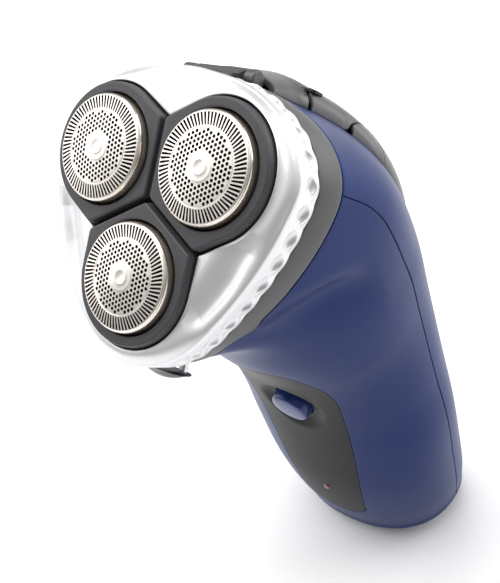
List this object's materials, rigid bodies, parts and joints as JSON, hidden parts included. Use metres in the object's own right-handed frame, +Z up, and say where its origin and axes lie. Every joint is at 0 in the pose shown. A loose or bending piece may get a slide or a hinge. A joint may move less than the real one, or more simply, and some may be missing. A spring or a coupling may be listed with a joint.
{
  "type": "rotary electric shaver",
  "caption": "Cordless rotary shaver: round slotted heads in a silver flip-open shaving unit tilted on a contoured blue handle, with a pop-up trimmer on the back.",
  "frame": {"origin": "on the base plane, under the middle of the bounding box", "axes": "+Z up along the handle, -Y to the front (power button side), +X to the right of the shaver seen from behind its back, the shaving face tilted 43 degrees towards -Y"},
  "size_m": [0.066, 0.0766, 0.1611],
  "materials": {
    "satin_silver": "satin",
    "charcoal_surround": "fine satin",
    "guard_steel": "fine brushed",
    "cutter_steel": "fine brushed",
    "inner_grey": "matte",
    "wheel_grey": "matte",
    "pin_steel": "polished",
    "collar_grey": "satin",
    "black_plastic": "satin",
    "gear_white": "satin",
    "pinion_brass": "machined",
    "seal_rubber": "matte",
    "motor_steel": "satin",
    "body_blue": "satin metallic",
    "panel_dark": "satin",
    "button_blue": "gloss",
    "board_green": "satin",
    "led_red": "clear gloss",
    "cell_green": "gloss",
    "nickel": "satin",
    "contact_gold": "polished",
    "trimmer_grey": "satin"
  },
  "bodies": {
    "handle": {"hinge_pin": "pin_steel", "head_collar": "collar_grey", "drive_deck": "inner_grey", "release_spring": "pin_steel", "spindle_seals": "seal_rubber", "motor_can": "motor_steel", "motor_endbell": "gear_white", "gear_plate": "inner_grey", "deck_screws": "pin_steel", "front_shell": "body_blue", "rear_shell": "body_blue", "front_panel": "panel_dark", "button_spring": "pin_steel", "tact_switch": "black_plastic", "circuit_board": "board_green", "charge_led": "led_red", "led_lens": "led_red", "chassis": "inner_grey", "battery_cells": "cell_green", "battery_tabs": "nickel", "board_screws": "pin_steel", "charging_socket": "black_plastic", "contact_pins": "contact_gold", "shell_screws": "pin_steel", "hinge_cover": "collar_grey", "trimmer_housing": "trimmer_grey", "trimmer_spring": "pin_steel", "trimmer_pin": "pin_steel", "sealing_cord": "seal_rubber"},
    "shaving_unit": {"shaving_unit_frame": "satin_silver", "retaining_frame": "inner_grey"},
    "locking_wheel": {"locking_wheel": "wheel_grey"},
    "release_button": {"release_button": "black_plastic"},
    "motor_rotor": {"motor_shaft": "pin_steel", "motor_pinion": "pinion_brass"},
    "power_button": {"power_button": "button_blue"},
    "trimmer_arm": {"trimmer_arm": "trimmer_grey", "trimmer_comb": "cutter_steel"},
    "trimmer_blade": {"trimmer_blade": "cutter_steel"},
    "trimmer_switch": {"trimmer_switch": "trimmer_grey"},
    "carrier_left": {"carrier_left": "charcoal_surround"},
    "guard_left": {"guard_left": "guard_steel"},
    "cutter_left": {"cutter_left": "cutter_steel"},
    "drive_left": {"drive_spindle_left": "pin_steel", "drive_gear_left": "gear_white"},
    "carrier_right": {"carrier_right": "charcoal_surround"},
    "guard_right": {"guard_right": "guard_steel"},
    "cutter_right": {"cutter_right": "cutter_steel"},
    "drive_right": {"drive_spindle_right": "pin_steel", "drive_gear_right": "gear_white"},
    "carrier_front": {"carrier_front": "charcoal_surround"},
    "guard_front": {"guard_front": "guard_steel"},
    "cutter_front": {"cutter_front": "cutter_steel"},
    "drive_front": {"drive_spindle_front": "pin_steel", "drive_gear_front": "gear_white"}
  },
  "joints": [
    {"name": "shaving_unit_open", "type": "hinge", "parent": "handle", "child": "shaving_unit", "pos_m": [0, 0.01145, 0.15377], "axis": [-1, 0, 0], "range_deg": [0, 95]},
    {"name": "carrier_left_tilt", "type": "hinge", "parent": "shaving_unit", "child": "carrier_left", "pos_m": [-0.01314, -0.00967, 0.14898], "axis": [-0.5, -0.6334, -0.5906], "range_deg": [-2.5, 2.5], "stiffness_Nm_per_rad": 0.35},
    {"name": "guard_left_float", "type": "slide", "parent": "carrier_left", "child": "guard_left", "axis": [0, -0.682, 0.7314], "range_m": [-0.0012, 0], "stiffness_N_per_m": 600, "springref_m": 0.0002},
    {"name": "cutter_left_spin", "type": "hinge", "parent": "guard_left", "child": "cutter_left", "pos_m": [-0.01314, -0.00967, 0.14898], "axis": [0, -0.682, 0.7314], "continuous": true},
    {"name": "carrier_right_tilt", "type": "hinge", "parent": "shaving_unit", "child": "carrier_right", "pos_m": [0.01314, -0.00967, 0.14898], "axis": [-0.5, 0.6334, 0.5906], "range_deg": [-2.5, 2.5], "stiffness_Nm_per_rad": 0.35},
    {"name": "guard_right_float", "type": "slide", "parent": "carrier_right", "child": "guard_right", "axis": [0, -0.682, 0.7314], "range_m": [-0.0012, 0], "stiffness_N_per_m": 600, "springref_m": 0.0002},
    {"name": "cutter_right_spin", "type": "hinge", "parent": "guard_right", "child": "cutter_right", "pos_m": [0.01314, -0.00967, 0.14898], "axis": [0, -0.682, 0.7314], "continuous": true},
    {"name": "carrier_front_tilt", "type": "hinge", "parent": "shaving_unit", "child": "carrier_front", "pos_m": [0, -0.02631, 0.13346], "axis": [1, 0, 0], "range_deg": [-2.5, 2.5], "stiffness_Nm_per_rad": 0.35},
    {"name": "guard_front_float", "type": "slide", "parent": "carrier_front", "child": "guard_front", "axis": [0, -0.682, 0.7314], "range_m": [-0.0012, 0], "stiffness_N_per_m": 600, "springref_m": 0.0002},
    {"name": "cutter_front_spin", "type": "hinge", "parent": "guard_front", "child": "cutter_front", "pos_m": [0, -0.02631, 0.13346], "axis": [0, -0.682, 0.7314], "continuous": true},
    {"name": "motor_spin", "type": "hinge", "parent": "handle", "child": "motor_rotor", "pos_m": [0, 0.00319, 0.12406], "axis": [0, -0.682, 0.7314], "continuous": true},
    {"name": "drive_left_spin", "type": "hinge", "parent": "handle", "child": "drive_left", "pos_m": [-0.01314, 0.00056, 0.13801], "axis": [0, -0.682, 0.7314], "continuous": true},
    {"name": "drive_right_spin", "type": "hinge", "parent": "handle", "child": "drive_right", "pos_m": [0.01314, 0.00056, 0.13801], "axis": [0, -0.682, 0.7314], "continuous": true},
    {"name": "drive_front_spin", "type": "hinge", "parent": "handle", "child": "drive_front", "pos_m": [0, -0.01608, 0.12249], "axis": [0, -0.682, 0.7314], "continuous": true},
    {"name": "locking_wheel_turn", "type": "hinge", "parent": "shaving_unit", "child": "locking_wheel", "pos_m": [0, -0.01181, 0.14015], "axis": [0, -0.682, 0.7314], "range_deg": [0, 90]},
    {"name": "release_button_press", "type": "slide", "parent": "handle", "child": "release_button", "axis": [0, 0.7314, 0.682], "range_m": [0, 0.0008], "stiffness_N_per_m": 900, "springref_m": -0.0005},
    {"name": "power_button_press", "type": "slide", "parent": "handle", "child": "power_button", "axis": [0, 0.9877, 0.1564], "range_m": [0, 0.0006], "stiffness_N_per_m": 1200, "springref_m": -0.0005},
    {"name": "trimmer_open", "type": "hinge", "parent": "handle", "child": "trimmer_arm", "pos_m": [0, 0.02843, 0.13475], "axis": [-1, 0, 0], "range_deg": [0, 80]},
    {"name": "trimmer_blade_stroke", "type": "slide", "parent": "trimmer_arm", "child": "trimmer_blade", "axis": [1, 0, 0], "range_m": [-0.0011, 0.0011]},
    {"name": "trimmer_switch_slide", "type": "slide", "parent": "handle", "child": "trimmer_switch", "axis": [0, -0.342, 0.9397], "range_m": [-0.0042, 0], "stiffness_N_per_m": 60, "springref_m": 0.0001}
  ],
  "couplings": [
    {"joint": "drive_left_spin", "follows": "motor_spin", "ratio": -0.30435},
    {"joint": "drive_right_spin", "follows": "motor_spin", "ratio": -0.30435},
    {"joint": "drive_front_spin", "follows": "motor_spin", "ratio": -0.30435},
    {"joint": "cutter_left_spin", "follows": "motor_spin", "ratio": -0.30435},
    {"joint": "cutter_right_spin", "follows": "motor_spin", "ratio": -0.30435},
    {"joint": "cutter_front_spin", "follows": "motor_spin", "ratio": -0.30435}
  ]
}
